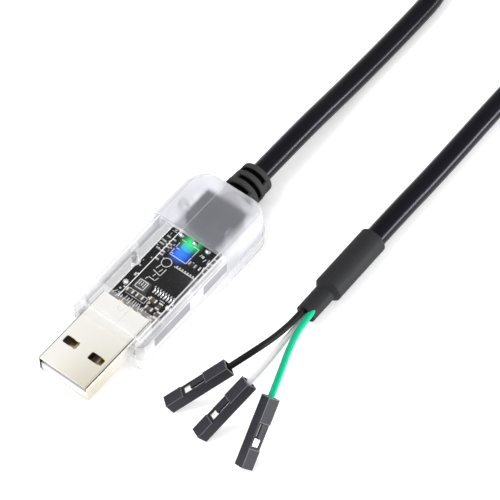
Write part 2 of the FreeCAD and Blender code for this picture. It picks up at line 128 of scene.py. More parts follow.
class Finish:
    """One material, or the sky, with the node-making method that all of them use."""

    def __init__(self, name, owner=None):
        self.material = owner or bpy.data.materials.new(name)
        self.material.use_nodes = True
        self.tree = self.material.node_tree
        self.tree.nodes.clear()

    def node(self, kind, settings=None, values=None, out=0):
        node = self.tree.nodes.new(kind)
        for key, value in (settings or {}).items():
            if key == "stops":
                ramp = node.color_ramp.elements
                while len(ramp) < len(value):
                    ramp.new(0.5)
                for element, (position, colour) in zip(ramp, value):
                    element.position = position
                    element.color = (*colour, 1.0)
            else:
                setattr(node, key, value)
        for key, value in (values or {}).items():
            socket = node.inputs[key]
            if isinstance(value, Field):
                self.tree.links.new(value.socket, socket)
            elif isinstance(value, tuple) and len(value) == 3 and socket.type == "RGBA":
                socket.default_value = (*value, 1.0)
            else:
                socket.default_value = value
        return Field(self, node.outputs[out])

    def spot(self):
        # The place on the object, in millimetres
        where = self.node("ShaderNodeTexCoord", out="Object")
        return self.node("ShaderNodeVectorMath", {"operation": "SCALE"}, {0: where, "Scale": 1.0 / MM})

    def place(self):
        spot = self.spot()
        parts = [self.node("ShaderNodeSeparateXYZ", None, {0: spot}, out=axis) for axis in "XYZ"]
        return spot, parts[0], parts[1], parts[2]

    def noise(self, where, scale, detail=2.0):
        return self.node("ShaderNodeTexNoise", None,
                         {"Vector": where, "Scale": scale, "Detail": detail}, out=0)

    def mix(self, share, first, second):
        return self.node("ShaderNodeMix", {"data_type": "RGBA"}, {0: share, 6: first, 7: second}, out=2)

    def bump(self, height, strength, distance):
        return self.node("ShaderNodeBump", None,
                         {"Height": height, "Strength": strength, "Distance": distance * MM})

    def shader(self, **sockets):
        return self.node("ShaderNodeBsdfPrincipled", None,
                         {name.replace("_", " "): value for name, value in sockets.items()})

    def surface(self, **sockets):
        self.node_out("ShaderNodeOutputMaterial", self.shader(**sockets))
        return self.material

    def node_out(self, kind, shader):
        self.tree.links.new(shader.socket, self.tree.nodes.new(kind).inputs["Surface"])


def mirrored_view():
    # Where a level face sends the camera's line of sight
    turned = Matrix.Rotation(math.radians(camera_turn), 3, "Z")
    tilted = Matrix.Rotation(math.radians(camera_tilt), 3, "X")
    back = turned @ tilted @ Vector((0, 0, 1))
    return Vector((-back.x, -back.y, back.z))


def make_sky():
    world = bpy.data.worlds.new("sky")
    scene.world = world
    sky = Finish("sky", world)
    direction = sky.node("ShaderNodeTexCoord", out="Generated")
    closeness = sky.node("ShaderNodeVectorMath", {"operation": "DOT_PRODUCT"},
                         {0: direction, 1: tuple(mirrored_view())}, out="Value")
    flag = closeness.above(flag_edge, flag_softness)
    colour = sky.mix(flag, sky_white, flag_colour)
    light = sky.node("ShaderNodeBackground", None, {"Color": colour, "Strength": 1.0})
    sky.node_out("ShaderNodeOutputWorld", light)


def make_floor():
    mesh = bpy.data.meshes.new("floor")
    reach = floor_reach * MM
    mesh.from_pydata([(-reach, -reach, 0), (reach, -reach, 0), (reach, reach, 0), (-reach, reach, 0)],
                     [], [(0, 1, 2, 3)])
    floor = bpy.data.objects.new("floor", mesh)
    finish = Finish("white_sweep")
    mesh.materials.append(finish.surface(Base_Color=floor_grey, Roughness=0.9, Specular_IOR_Level=0.1,
                                         Emission_Color=(*sky_white, 1.0), Emission_Strength=floor_glow))
    scene.collection.objects.link(floor)


def add_lamp(name, place, target, width, length, power):
    data = bpy.data.lights.new(name, "AREA")
    data.shape = "RECTANGLE"
    data.size = width * MM
    data.size_y = length * MM
    data.energy = power
    lamp = bpy.data.objects.new(name, data)
    lamp.location = metres(place)
    aim = metres(place) - metres(target)
    lamp.rotation_euler = aim.to_track_quat("Z", "Y").to_euler()
    scene.collection.objects.link(lamp)


make_camera()
make_sky()
make_floor()
add_lamp("key_lamp", place=(-160, 220, 420), target=(10, -10, 0), width=260, length=260, power=1.6)
add_lamp("side_lamp", place=(200, -390, 34), target=(30, -10, 0), width=420, length=64, power=3.0)

# The cable: about a metre of round three-core lead in a glossy black jacket, drawn out through the
# strain relief. What the photograph doesn't show lies in a tied coil of two layers.
cable_diameter = 4.4
axis_height = 4.4
relief_end = 29.9
coil_centre = (152.7, -13.3)
coil_radius = 22.0
turn_pitch = 4.5
layer_turns = 2.75
coil_face = 135.7
coil_base = 0.65
points_per_turn = 24
climb_share = 0.3
cable_radius = cable_diameter / 2
coil_low = coil_base + cable_radius
coil_high = coil_low + turn_pitch
outer_turn = coil_radius + layer_turns * turn_pitch / 2
sleeve_height = 2.9
cable_out_route = [
    (relief_end, 0.0, axis_height),
    (44.7, 0.0, 4.4),
    (60.7, 0.3, cable_radius),
    (79.7, 0.0, cable_radius),
    (96.7, 0.3, cable_radius),
    (118.2, coil_centre[1] + outer_turn, coil_low),
    (coil_face, coil_centre[1] + outer_turn, coil_low),
]
cable_back_route = [
    (coil_face, coil_centre[1] - outer_turn, coil_high),
    (118.7, coil_centre[1] - outer_turn, coil_high),
    (96.2, -26.9, cable_radius),
    (76.7, -26.5, cable_radius),
    (52.7, -26.7, cable_radius),
    (40.2, -26.6, sleeve_height),
    (19.2, -26.6, sleeve_height),
]


def coil_points():
    # Inwards on the lower layer and outwards on the upper one, clockwise from the ring's top
    steps = round(2 * layer_turns * points_per_turn)
    widen = 1.0 / math.cos(math.pi / points_per_turn)
    points = []
    for step in range(steps + 1):
        turns = step / points_per_turn
        depth = layer_turns - abs(turns - layer_turns)
        radius = (outer_turn - depth * turn_pitch) * widen
        angle = math.radians(90.0) - turns * math.tau
        climb = min(max((turns - layer_turns) / climb_share / 2 + 0.5, 0.0), 1.0)
        height = coil_low + (coil_high - coil_low) * climb * climb * (3 - 2 * climb)
        points.append((coil_centre[0] + radius * math.cos(angle),
                       coil_centre[1] + radius * math.sin(angle), height))
    return points


def cord_curve(name, points, diameter, material, around=8, along=8):
    data = bpy.data.curves.new(name, "CURVE")
    data.dimensions = "3D"
    spline = data.splines.new("NURBS")
    spline.points.add(len(points) - 1)
    for control, point in zip(spline.points, points):
        control.co = (*metres(point), 1.0)
    spline.order_u = 3
    spline.use_endpoint_u = True
    spline.use_smooth = True
    data.resolution_u = along
    data.bevel_depth = diameter / 2 * MM
    data.bevel_resolution = around
    data.use_fill_caps = True
    data.materials.append(material)
    cord = bpy.data.objects.new(name, data)
    scene.collection.objects.link(cord)
    return cord


def jacket_finish():
    finish = Finish("glossy_black_jacket")
    spot = finish.spot()
    grain = finish.noise(spot, 3.0, 3.0)
    speck = finish.noise(spot, 0.12)
    colour = finish.mix(speck, (0.0014, 0.0012, 0.0026), (0.0026, 0.0023, 0.0045))
    return finish.surface(Base_Color=colour, Roughness=0.2 + 0.08 * grain, Specular_IOR_Level=0.13,
                          Normal=finish.bump(grain, 0.08, 0.02), Specular_Tint=(0.88, 0.86, 1.0, 1.0))


cable = cord_curve("cable", cable_out_route + coil_points() + cable_back_route, cable_diameter,
                   jacket_finish())
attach(cable, "root")
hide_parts("cable_out", "cable_coil", "cable_back")

# The coil's tie: a flat black band that holds the turns of the stored length together.
# It keeps the form of the drawing and is finished as ribbed nylon.


def tie_finish():
    finish = Finish("ribbed_nylon")
    spot = finish.spot()
    rib = finish.node("ShaderNodeTexWave", {"bands_direction": "Z"}, {"Vector": spot, "Scale": 0.5}, out=1)
    return finish.surface(Base_Color=(0.012, 0.012, 0.013), Roughness=0.45,
                          Normal=finish.bump(rib, 0.3, 0.1))


def dress(node, material):
    mesh = nodes[node].data
    mesh.materials.clear()
    mesh.materials.append(material)


dress("coil_tie", tie_finish())

# The shrink sleeve: matte dark grey tube, shrunk on so that its narrow end grips the three wires.
# The faint lengthwise wrinkles are what heat leaves on such tube.


def sleeve_finish():
    finish = Finish("shrunk_tube")
    spot = finish.spot()
    stretched = finish.node("ShaderNodeMapping", None, {"Vector": spot, "Scale": (0.15, 1.2, 1.2)})
    wrinkle = finish.noise(stretched, 1.0, 3.0)
    colour = finish.mix(wrinkle, (0.013, 0.013, 0.015), (0.020, 0.0205, 0.023))
    return finish.surface(Base_Color=colour, Roughness=0.62, Normal=finish.bump(wrinkle, 0.25, 0.08),
                          Specular_IOR_Level=0.12)


dress("shrink_sleeve", sleeve_finish())

# The three wires: thin stranded leads in smooth black, white and green insulation. Each leaves the
# sleeve's narrow end, rises a little and goes into the raised end of its pin socket.
wire_diameter = 1.3
wire_spacing = 0.68
wire_rise = 0.36
wire_drop = 0.8
wire_start = 19.2
sleeve_y = -26.6
socket_length = 14.0
socket_side = 2.54
wire_end = 8.2
upper = sleeve_height + wire_rise
lower = sleeve_height - wire_drop


class SocketPose:
    """Where a pin socket lies: its nose on the floor, turned and tilted, with its wire end raised."""

    def __init__(self, nose_x, nose_y, yaw, pitch, roll):
        turn = math.radians(roll % 90)
        tilt = math.radians(pitch)
        height = socket_side / 2 * math.cos(tilt) * (math.cos(turn) + math.sin(turn))
        self.nose = Vector((nose_x, nose_y, height))
        rotation = Matrix.Rotation(math.radians(yaw), 3, "Z") @ Matrix.Rotation(-tilt, 3, "Y")
        self.rotation = rotation @ Matrix.Rotation(math.radians(roll), 3, "X")

    def along(self, distance):
        return tuple(self.nose + self.rotation @ Vector((distance, 0, 0)))


sockets = {
    "black": SocketPose(-20.8, -17.9, -32.8, 30.0, -11.5),
    "white": SocketPose(-22.4, -26.6, -16.7, 35.0, -15.4),
    "green": SocketPose(-22.8, -37.3, 11.4, 35.0, 51.3),
}
wire_routes = {
    "black": [(wire_start, sleeve_y + wire_spacing, upper), (10.2, sleeve_y + wire_spacing, upper),
              (1.9, -27.0, 7.0), sockets["black"].along(socket_length + 4.3),
              sockets["black"].along(wire_end)],
    "white": [(wire_start, sleeve_y, lower), (10.2, sleeve_y, lower),
              (1.9, -28.2, 5.8), sockets["white"].along(socket_length + 3.2),
              sockets["white"].along(wire_end)],
    "green": [(wire_start, sleeve_y - wire_spacing, upper), (10.2, sleeve_y - wire_spacing, upper),
              (1.2, -30.0, 7.3), sockets["green"].along(socket_length + 3.8),
              sockets["green"].along(wire_end)],
}
wire_colours = {"black": (0.006, 0.006, 0.0065), "white": (0.66, 0.66, 0.67), "green": (0.0, 0.345, 0.18)}


def insulation_finish(colour_name):
    finish = Finish(colour_name + "_insulation")
    spot = finish.spot()
    mottle = finish.noise(spot, 1.3)
    base = wire_colours[colour_name]
    darker = tuple(0.86 * part for part in base)
    return finish.surface(Base_Color=finish.mix(mottle, darker, base), Roughness=0.42 + 0.06 * mottle,
                          Normal=finish.bump(mottle, 0.1, 0.03), Specular_IOR_Level=0.1)


for colour in sockets:
    insulation = insulation_finish(colour)
    wire = cord_curve(colour + "_lead", wire_routes[colour], wire_diameter, insulation, 6, 16)
    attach(wire, "root")
    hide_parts(colour + "_wire")
    dress(colour + "_inner_lead", insulation)

# The pin sockets: moulded dark crimp housings with a window, a latch finger and an open wire end.
# A tinned crimp terminal shows as a bright patch in each window.
socket_bore = 0.97
socket_nose_wall = 0.6
socket_window = (3.9, 9.0)
socket_edge = 0.11
socket_rim = 0.16
bore_margin = 0.02
sill_width = 0.14
sill_overlap = 0.02
sill_depth = 0.3
recess_depths = (0.32, 0.12)


def socket_finish(name, pose):
    # Measured along and across the socket: painted highlights on its long edges, its wire-end rim and its
    # window sills, and painted shade in its window recess and in its bore, which is near black
    finish = Finish(name + "_moulding")
    spot = finish.spot()
    away = finish.node("ShaderNodeVectorMath", {"operation": "SUBTRACT"}, {0: spot, 1: tuple(pose.nose)})

    def measured(axis):
        direction = tuple(pose.rotation @ Vector(axis))
        return finish.node("ShaderNodeVectorMath", {"operation": "DOT_PRODUCT"}, {0: away, 1: direction},
                           out="Value")

    along, across, height = measured((1, 0, 0)), measured((0, 1, 0)).size(), measured((0, 0, 1))
    half = socket_side / 2
    bore_edge = socket_bore + bore_margin
    bore_shade = (1.0 - across.above(bore_edge, 0.02)) * (1.0 - height.size().above(bore_edge, 0.02))
    bore_shade = bore_shade * along.above(socket_nose_wall, 0.05)
    # Painted highlight along the socket's four long edges
    corner = across.above(half - socket_edge, 0.05) * height.size().above(half - socket_edge, 0.05)
    rim_highlight = along.above(socket_length - socket_rim, 0.05)
    low, high = socket_window
    sill_highlight = (along.within(low - sill_width, low + sill_overlap, 0.04)
            + along.within(high - sill_overlap, high + sill_width, 0.04))
    sill_highlight = sill_highlight * height.above(half - sill_depth, 0.05)
    deepest, shallowest = recess_depths
    recess_shade = along.within(low, high, 0.04) * height.within(half - deepest, half - shallowest, 0.04)
    grain = finish.noise(spot, 6.0, 3.0)
    colour = finish.mix(grain, (0.010, 0.010, 0.0155), (0.016, 0.016, 0.0245))
    colour = finish.mix(recess_shade * 0.7, colour, (0.008, 0.008, 0.010))
    colour = finish.mix((corner + rim_highlight + sill_highlight).capped() * 0.8, colour, (0.11, 0.11, 0.12))
    colour = finish.mix(bore_shade, colour, (0.0015, 0.0015, 0.002))
    return finish.surface(Base_Color=colour, Roughness=0.48, Normal=finish.bump(grain, 0.15, 0.02),
                          Specular_IOR_Level=0.25)


def terminal_finish():
    finish = Finish("bright_tin")
    spot = finish.spot()
    marks = finish.noise(spot, 4.0, 3.0)
    colour = finish.mix(marks, (0.72, 0.71, 0.68), (0.93, 0.93, 0.92))
    return finish.surface(Base_Color=colour, Metallic=1.0, Roughness=0.3 + 0.15 * marks,
                          Normal=finish.bump(marks, 0.2, 0.03))


tin = terminal_finish()
for colour in sockets:
    dress(colour + "_socket", socket_finish(colour + "_socket", sockets[colour]))
    dress(colour + "_terminal", tin)

# The strain relief: soft black moulding with three rings, joined by short bridges, and an inner block that
# the housing holds. Apart from the rings' grey-black faces it is painted near black as shade, which shows
# most in the slots between the rings.
neck_radius = 2.8
ring_step = 0.45
rings_start = 23.1


def relief_finish():
    finish = Finish("soft_black_moulding")
    spot, x, y, z = finish.place()
    grain = finish.noise(spot, 5.0, 3.0)
    out = (y * y + (z - axis_height) * (z - axis_height)) ** 0.5
    # Painted shade: all but the rings' faces is painted near black
    ring_faces = out.above(neck_radius + ring_step, 0.15) * x.above(rings_start, 0.1)
    dark = finish.mix(ring_faces, (0.0006, 0.0006, 0.0006), (0.036, 0.036, 0.036))
    return finish.surface(Base_Color=finish.mix(grain * 0.1, dark, (0.012, 0.012, 0.0125)), Roughness=0.6,
                          Normal=finish.bump(grain, 0.2, 0.03), Specular_IOR_Level=0.02)


dress("strain_relief", relief_finish())

# The housing: two moulded shells of clear plastic, meeting at a lip and pinned at six posts. The roof is
# polished over the board, with a painted reflection as one thin white line, and frosted over its rear;
# highlights and shade at its edges and walls are painted too.
roof_height = 8.8
frost_start = 8.3
roof_wall = 1.15
side_wall = 1.5
housing_half = 9.1
housing_front = -17.6
housing_rear = 23.0
parting_height = 3.3
plug_rear = -10.9
reflection_line_y = 1.8
reflection_line_width = 0.16
reflection_line_start = -11.3
post_reach = 6.3
slot_shade_spans = ((-13.8, -3.0), (1.0, 12.0))
slot_shade_heights = (4.3, 7.2)
plug_room = 6.3
mouth_top = 6.9
frost_share = 0.8
shade_x = (7.3, 19.0)
shade_y = (-6.4, 3.9)


def clear_finish():
    finish = Finish("clear_plastic")
    spot, x, y, z = finish.place()
    across = y.size()
    mould = finish.noise(spot, 0.35)
    cloud = finish.noise(spot, 0.22, 1.0)
    inner_edge = housing_half - side_wall
    # The roof: clear, with a painted reflection as its thin white line, and a painted shade line and a
    # painted highlight line where it turns down into the walls
    inner_roof = z.within(roof_height - roof_wall - 0.06, roof_height - roof_wall + 0.06, 0.03)
    roof = z.above(roof_height - 0.1, 0.05)
    over_plug = (1.0 - x.above(plug_rear + 0.1, 0.15)) * roof
    reflection_line = y.within(reflection_line_y - reflection_line_width / 2, reflection_line_y + reflection_line_width / 2, 0.04) * x.above(reflection_line_start, 0.1) * roof
    upper = z.above(roof_height - 0.7, 0.2)
    edge_shade_line = across.within(inner_edge - 0.05, inner_edge + 0.12, 0.05) * roof
    edge_highlight_line = across.within(inner_edge - 0.35, inner_edge - 0.1, 0.05) * roof
    # Painted highlight, with some grey, on the roof's rounded outer edge
    rim_highlight = across.within(inner_edge + 0.3, inner_edge + 0.75, 0.12) * upper
    # The walls: milky, with painted shade on the near one between its posts, where the dark board shows
    # through
    walls = across.above(inner_edge - 0.15, 0.04) * (1.0 - roof)
    ends = 1.0 - x.within(housing_front + side_wall + 0.1, housing_rear - side_wall - 0.1, 0.1)
    columns = across.above(post_reach, 0.05) * z.within(1.2, roof_height - roof_wall - 0.1, 0.05)
    outer = (-1.0 * y).above(housing_half - 0.2, 0.05)
    front_span, rear_span = slot_shade_spans
    panes = x.within(*front_span, 0.25) + x.within(*rear_span, 0.25)
    slot_shade = outer * panes * z.within(slot_shade_heights[0], slot_shade_heights[1], 0.15)
    parting = z.within(parting_height - 0.12, parting_height + 0.1, 0.04)
    # Painted highlight along the top of the parting ledge, and painted shade in a line below it
    ledge_highlight = across.above(housing_half + 0.05, 0.05) * parting
    below = z.within(parting_height - 0.75, parting_height - 0.35, 0.1)
    under_ledge_shade = across.above(housing_half + 0.1, 0.05) * below
    white = 0.24 * walls + 0.10 * ends + 0.14 * columns + 0.12 * cloud * walls
    # Painted shade on the far wall's inner face, and on the outer walls above the parting line
    far_wall_shade = y.within(inner_edge, inner_edge + 0.5, 0.15) * (1.0 - roof)
    outer_wall_shade = across.above(housing_half - 0.25, 0.1) * z.above(parting_height + 0.3, 0.2)
    painted_shade = 0.35 * edge_shade_line + 1.3 * slot_shade + 0.3 * under_ledge_shade + 0.14 * rim_highlight + 0.16 * far_wall_shade + 0.12 * outer_wall_shade
    bright = 0.9 * reflection_line + 0.65 * edge_highlight_line + 0.7 * ledge_highlight + 0.20 * over_plug + 0.2 * rim_highlight
    veil = (0.015 + white + painted_shade + bright).capped()
    dark_share = painted_shade / (0.02 + white + painted_shade + bright)
    mouth = (1.0 - across.above(plug_room, 0.05)) * (1.0 - z.above(mouth_top, 0.05))
    mouth = mouth * (1.0 - x.above(housing_front + side_wall + 0.2, 0.05))
    milk = finish.mix(dark_share, (0.84, 0.84, 0.86), (0.34, 0.34, 0.37))
    plain = finish.shader(Base_Color=finish.mix(slot_shade, milk, (0.20, 0.20, 0.22)),
                          Roughness=0.12 + 0.05 * mould, Alpha=veil * (1.0 - inner_roof) * (1.0 - mouth))
    # The frosted rear, with painted shade over the dark block beneath it
    shaded = x.within(*shade_x, 0.9) * y.within(*shade_y, 0.8) * z.above(roof_height - 0.9, 0.2)
    tone = finish.mix((shaded * (0.85 + 0.3 * cloud)).capped(), (0.86, 0.86, 0.905), (0.30, 0.30, 0.345))
    frosted = finish.shader(Base_Color=tone, Roughness=0.42, IOR=1.2, Transmission_Weight=0.72)
    frost = x.above(frost_start, 0.12) * z.above(parting_height, 0.2)
    both = finish.node("ShaderNodeMixShader", None, {0: frost * frost_share, 1: plain, 2: frosted})
    finish.node_out("ShaderNodeOutputMaterial", both)
    return finish.material


clear_plastic = clear_finish()
dress("housing_bottom", clear_plastic)
dress("housing_top", clear_plastic)

# The plug: a folded sheet of nickelled steel round a white insulator with four gilt contacts. The folds
# carry a painted dark reflection, the flats painted shade that darkens and warms them towards the nose and
# the -y side, and inside the shell the metal is painted dull brown as shade.
plug_nose = -29.9
plug_width = 12.0
plug_bottom = 2.15
plug_top = 6.65
sheet = 0.3
mark_x = -12.0
mark_y = 0.56
mark_radius = 0.6
seam_y = -0.95
seam_start = -16.12
window_middle = 3.075
window_width = 3.2
window_bands = [(0.0, (0.85, 0.78, 0.68)), (0.22, (0.72, 0.62, 0.52)), (0.32, (0.18, 0.13, 0.09)),
                (0.42, (0.62, 0.48, 0.36)), (0.52, (0.16, 0.11, 0.08)), (0.62, (0.50, 0.38, 0.28)),
                (0.74, (0.16, 0.12, 0.09)), (1.0, (0.15, 0.12, 0.10))]


def shell_finish():
    finish = Finish("nickelled_steel")
    spot, x, y, z = finish.place()
    fine = finish.node("ShaderNodeMapping", None, {"Vector": spot, "Scale": (0.25, 8.0, 8.0)})
    brushed = finish.noise(fine, 1.0, 3.0)
    # Painted shade: the shell's inner faces are dull brown
    inner_shade = 1.0 - y.size().above(plug_width / 2 - sheet + 0.03, 0.02)
    inner_shade = inner_shade * z.within(plug_bottom + 2.0 * sheet, plug_top - sheet + 0.03, 0.02)
    # Painted shade: the flat darkens and warms towards the nose and the -y side
    warm_shade = (1.0 - x.above(plug_nose + 8.0, 9.0)) * (1.0 - y.above(-1.0, 6.0))
    flat = finish.mix(warm_shade, (0.88, 0.87, 0.83), (0.66, 0.62, 0.51))
    # Painted dark reflection along the two top folds
    fold_reflection = y.size().within(plug_width / 2 - 0.42, plug_width / 2 - 0.18, 0.05) * z.above(plug_top - 0.4, 0.1)
    far = ((x - mark_x) * (x - mark_x) + (y - mark_y) * (y - mark_y)) ** 0.5
    mark = far.within(mark_radius - 0.06, mark_radius + 0.06, 0.04) * (1.0 - (x - mark_x).above(0.3, 0.1))
    seam = y.within(seam_y - 0.05, seam_y + 0.05, 0.03) * x.within(seam_start, mark_x + 1.4, 0.1)
    second = y.size().within(plug_width / 2 - 0.75, plug_width / 2 - 0.65, 0.04) * (1.0 - y.above(0.0, 0.1))
    scored = (mark + seam + second).capped() * z.above(plug_top - 0.05, 0.03)
    flat = finish.mix(scored * 0.5, flat, (0.30, 0.28, 0.25))
    folded = finish.mix(fold_reflection * 0.85, flat, (0.03, 0.025, 0.02))
    colour = finish.mix(inner_shade, folded, (0.05, 0.032, 0.018))
    return finish.surface(Base_Color=colour, Metallic=1.0, Roughness=0.3 + 0.1 * brushed,
                          Normal=finish.bump(brushed, 0.06, 0.01))


def insulator_finish():
    finish = Finish("white_insulator")
    spot, x, y, z = finish.place()
    grain = finish.noise(spot, 4.0)
    white = finish.mix(grain, (0.80, 0.79, 0.84), (0.88, 0.87, 0.92))
    # Painted shade: behind the nose the tongue is painted dark, where the shell shades it
    shaded = x.above(plug_nose + 2.6, 0.8)
    # In the two windows this painted shade shows as dark brown bands, paler towards the side that the light
    # comes from
    far_window = y.above(0.0, 0.05)
    share = (y + window_middle - 2.0 * window_middle * far_window) / window_width + 0.5
    bands = finish.node("ShaderNodeValToRGB", {"stops": window_bands}, {0: share})
    return finish.surface(Base_Color=finish.mix(shaded, white, bands), Roughness=0.5)


def contact_finish():
    finish = Finish("gilt_contact")
    spot = finish.spot()
    worn = finish.noise(spot, 2.0)
    return finish.surface(Base_Color=finish.mix(worn, (0.75, 0.52, 0.2), (0.9, 0.68, 0.32)), Metallic=1.0,
                          Roughness=0.28)


dress("usb_shell", shell_finish())
dress("usb_insulator", insulator_finish())
dress("usb_contacts", contact_finish())

# The board: glass-fibre sheet in black solder mask on both sides. It is lit green and blue where the
# two LEDs shine on it.
board_top = 2.15
board_rear = 11.9
board_half = 6.7
green_glow_place = (10.2, 1.2)
blue_glow_place = (7.0, 1.3)
glow_reach = 2.9
print_thickness = 0.03
print_width = 0.16


def led_glow(finish, x, y):
    # The light that spreads round the two LEDs, as a colour
    def spread(place):
        far = ((x - place[0]) * (x - place[0]) + (y - place[1]) * (y - place[1])) ** 0.5
        return 1.0 - far.above(glow_reach * 0.5, glow_reach * 0.5)

    green, blue = spread(green_glow_place), spread(blue_glow_place)
    return finish.node("ShaderNodeCombineColor", None,
                       {0: 0.06 * green + 0.03 * blue, 1: 0.95 * green + 0.24 * blue,
                        2: 0.30 * green + 1.25 * blue})


def board_finish():
    finish = Finish("black_solder_mask")
    spot, x, y, z = finish.place()
    weave = finish.noise(spot, 2.5, 2.0)
    ink = finish.mix(weave, (0.002, 0.002, 0.0025), (0.005, 0.005, 0.006))
    face = z.above(board_top - 0.05, 0.03)
    glow = finish.mix(face, (0.0, 0.0, 0.0), led_glow(finish, x, y))
    return finish.surface(Base_Color=ink, Roughness=0.35, Emission_Color=glow, Emission_Strength=1.0,
                          Normal=finish.bump(weave, 0.05, 0.02), Specular_IOR_Level=0.06)


dress("circuit_board", board_finish())


def plain_box(mesh, corner, size, turn=0.0):
    # One closed box, given by the middle of its foot and turned about it
    x, y, z = corner
    dx, dy, dz = size
    turned = Matrix.Translation(metres((x, y, z + dz / 2))) @ Matrix.Rotation(turn, 4, "Z")
    bmesh.ops.create_cube(mesh, size=1.0, matrix=turned @ Matrix.Diagonal((dx * MM, dy * MM, dz * MM, 1.0)))


def solid_piece(name, mesh, material):
    data = bpy.data.meshes.new(name)
    mesh.to_mesh(data)
    mesh.free()
    data.materials.append(material)
    piece = bpy.data.objects.new(name, data)
    scene.collection.objects.link(piece)
    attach(piece, "root")
    return piece


def stroke(mesh, start, end, width, height=board_top):
    (x0, y0), (x1, y1) = start, end
    length = math.hypot(x1 - x0, y1 - y0) + width
    plain_box(mesh, ((x0 + x1) / 2, (y0 + y1) / 2, height), (length, width, print_thickness),
              math.atan2(y1 - y0, x1 - x0))


# The print on the board: white ink, laid on as thin flat strokes, with three bars in a box on the
# fuse's top and one ring. The outlines come first, each a row of corners.
outlines = [
    [(9.9, 3.2), (9.9, 2.3)], [(9.95, 0.4), (9.95, -0.85), (7.9, -0.85)],
    [(7.5, -0.85), (5.8, -0.85), (5.8, 3.2)],
    [(7.9, 3.2), (9.0, 3.2)], [(5.8, 3.2), (7.3, 3.2)], [(6.2, 2.7), (6.2, 3.2)], [(7.7, 2.9), (7.7, 2.2)],
    [(0.9, 3.2), (0.5, 1.35), (2.35, 1.3)], [(1.6, 3.1), (2.6, 2.9)], [(1.2, 2.1), (2.0, 1.9)],
    [(-1.6, 3.2), (-0.9, 3.0), (-0.95, 1.4), (-0.1, 1.3)], [(-0.3, 2.4), (0.3, 2.3)],
    [(-5.1, 4.4), (-6.4, 4.4), (-6.4, -0.2), (-5.1, -0.2)],
    [(-5.1, 4.4), (-5.1, -0.2)], [(-5.7, 4.0), (-5.7, 2.6)], [(-5.7, 2.0), (-5.7, 0.4)],
    [(-7.0, 5.8), (-7.9, 6.4)], [(-6.7, 4.9), (-8.3, 5.3)], [(-6.9, 3.4), (-8.4, 3.6)],
    [(-6.9, 2.2), (-8.4, 2.3)],
    [(-7.0, 1.1), (-8.3, 1.0)], [(-7.0, 0.2), (-8.3, -0.2)], [(-6.6, -0.9), (-8.2, -1.0)],
    [(-6.0, -0.7), (-4.4, -0.7), (-4.2, -1.0)], [(-3.9, -2.3), (-3.9, -3.3)], [(-4.1, -5.3), (-5.3, -5.6)],
    [(-6.3, -5.2), (-7.6, -5.4)], [(-8.3, -2.6), (-8.4, -3.9)], [(6.2, -1.2), (6.2, -1.5)],
    [(9.3, -4.0), (8.2, -4.1), (8.0, -4.9)], [(9.5, -4.9), (9.2, -5.6)], [(7.3, -4.2), (6.4, -4.4)],
    [(8.9, -1.9), (9.4, -2.1)], [(8.3, -3.2), (8.9, -3.4)], [(-0.9, -5.2), (0.4, -5.25)],
    [(3.4, -5.1), (3.9, -5.1), (3.9, -5.6)], [(10.5, 6.1), (10.5, 5.2)], [(9.9, 5.9), (9.4, 5.9)],
]
# Short marks in white ink beside the small parts: middle, length along x, length along y
marks = [
    (10.9, 5.6, 0.3, 0.5), (8.8, 6.0, 0.5, 0.4), (7.6, 6.3, 0.4, 0.5), (6.8, 6.2, 0.4, 0.6),
    (6.0, 6.2, 0.3, 0.6), (8.1, 5.0, 0.5, 0.4), (7.2, 5.0, 0.4, 0.5), (6.3, 5.0, 0.4, 0.4),
    (5.4, 5.1, 0.3, 0.5), (7.9, 3.75, 0.5, 0.3), (7.0, 3.8, 0.3, 0.4), (6.2, 3.9, 0.5, 0.3),
    (5.2, 4.1, 0.4, 0.3), (4.4, 4.0, 0.5, 0.4), (4.2, 3.4, 0.3, 0.3),
    (0.15, 6.0, 0.35, 0.35), (1.5, 6.25, 0.2, 0.2), (2.9, 5.4, 0.25, 0.25), (-2.0, 5.4, 0.7, 0.45),
    (-1.6, 5.0, 0.3, 0.5), (-6.3, 5.7, 0.4, 0.4), (-5.6, 5.2, 0.3, 0.5), (-7.2, 5.3, 0.3, 0.3),
    (6.6, -1.9, 0.8, 0.35), (6.5, -3.7, 0.9, 0.35), (8.5, -4.3, 0.5, 0.5), (9.05, -2.55, 0.55, 0.5),
    (-4.9, -3.0, 0.3, 0.5),
    (-5.6, -1.0, 0.5, 0.3), (-6.9, -3.3, 0.5, 0.25), (-7.9, -3.2, 0.4, 0.4), (-6.1, -4.4, 0.3, 0.5),
    (-3.3, -4.7, 0.5, 0.6), (-7.5, -5.9, 0.6, 0.3), (-4.6, 0.9, 0.35, 0.35), (-4.7, -0.1, 0.3, 0.3),
    (-7.6, 4.3, 0.7, 0.2), (-7.4, 2.8, 0.8, 0.2), (-7.3, 1.6, 0.8, 0.2), (-7.4, 0.6, 0.8, 0.2),
    (-7.6, -0.6, 0.7, 0.2), (-7.4, -1.7, 0.8, 0.2), (-7.5, -4.9, 0.7, 0.2),
]
# Three bars in a box, on the fuse's top
fuse_top = 3.15
fuse_marks = [
    [(-2.75, 3.4), (-4.7, 3.4), (-4.7, 1.4), (-2.75, 1.4), (-2.75, 3.4)],
    [(-3.1, 2.95), (-3.9, 2.95)], [(-3.1, 2.4), (-3.9, 2.4)], [(-3.1, 1.85), (-4.1, 1.85)],
]
ring_place = (3.75, 2.3)
ring_radius = 0.95
ring_sides = 28


def ink_finish():
    finish = Finish("white_ink")
    spot, x, y, z = finish.place()
    worn = finish.noise(spot, 3.0, 2.0)
    lit = finish.mix(0.45, (0.0, 0.0, 0.0), led_glow(finish, x, y))
    return finish.surface(Base_Color=finish.mix(worn, (0.42, 0.42, 0.42), (0.78, 0.78, 0.77)), Roughness=0.6,
                          Emission_Color=lit, Emission_Strength=1.0, Specular_IOR_Level=0.2)


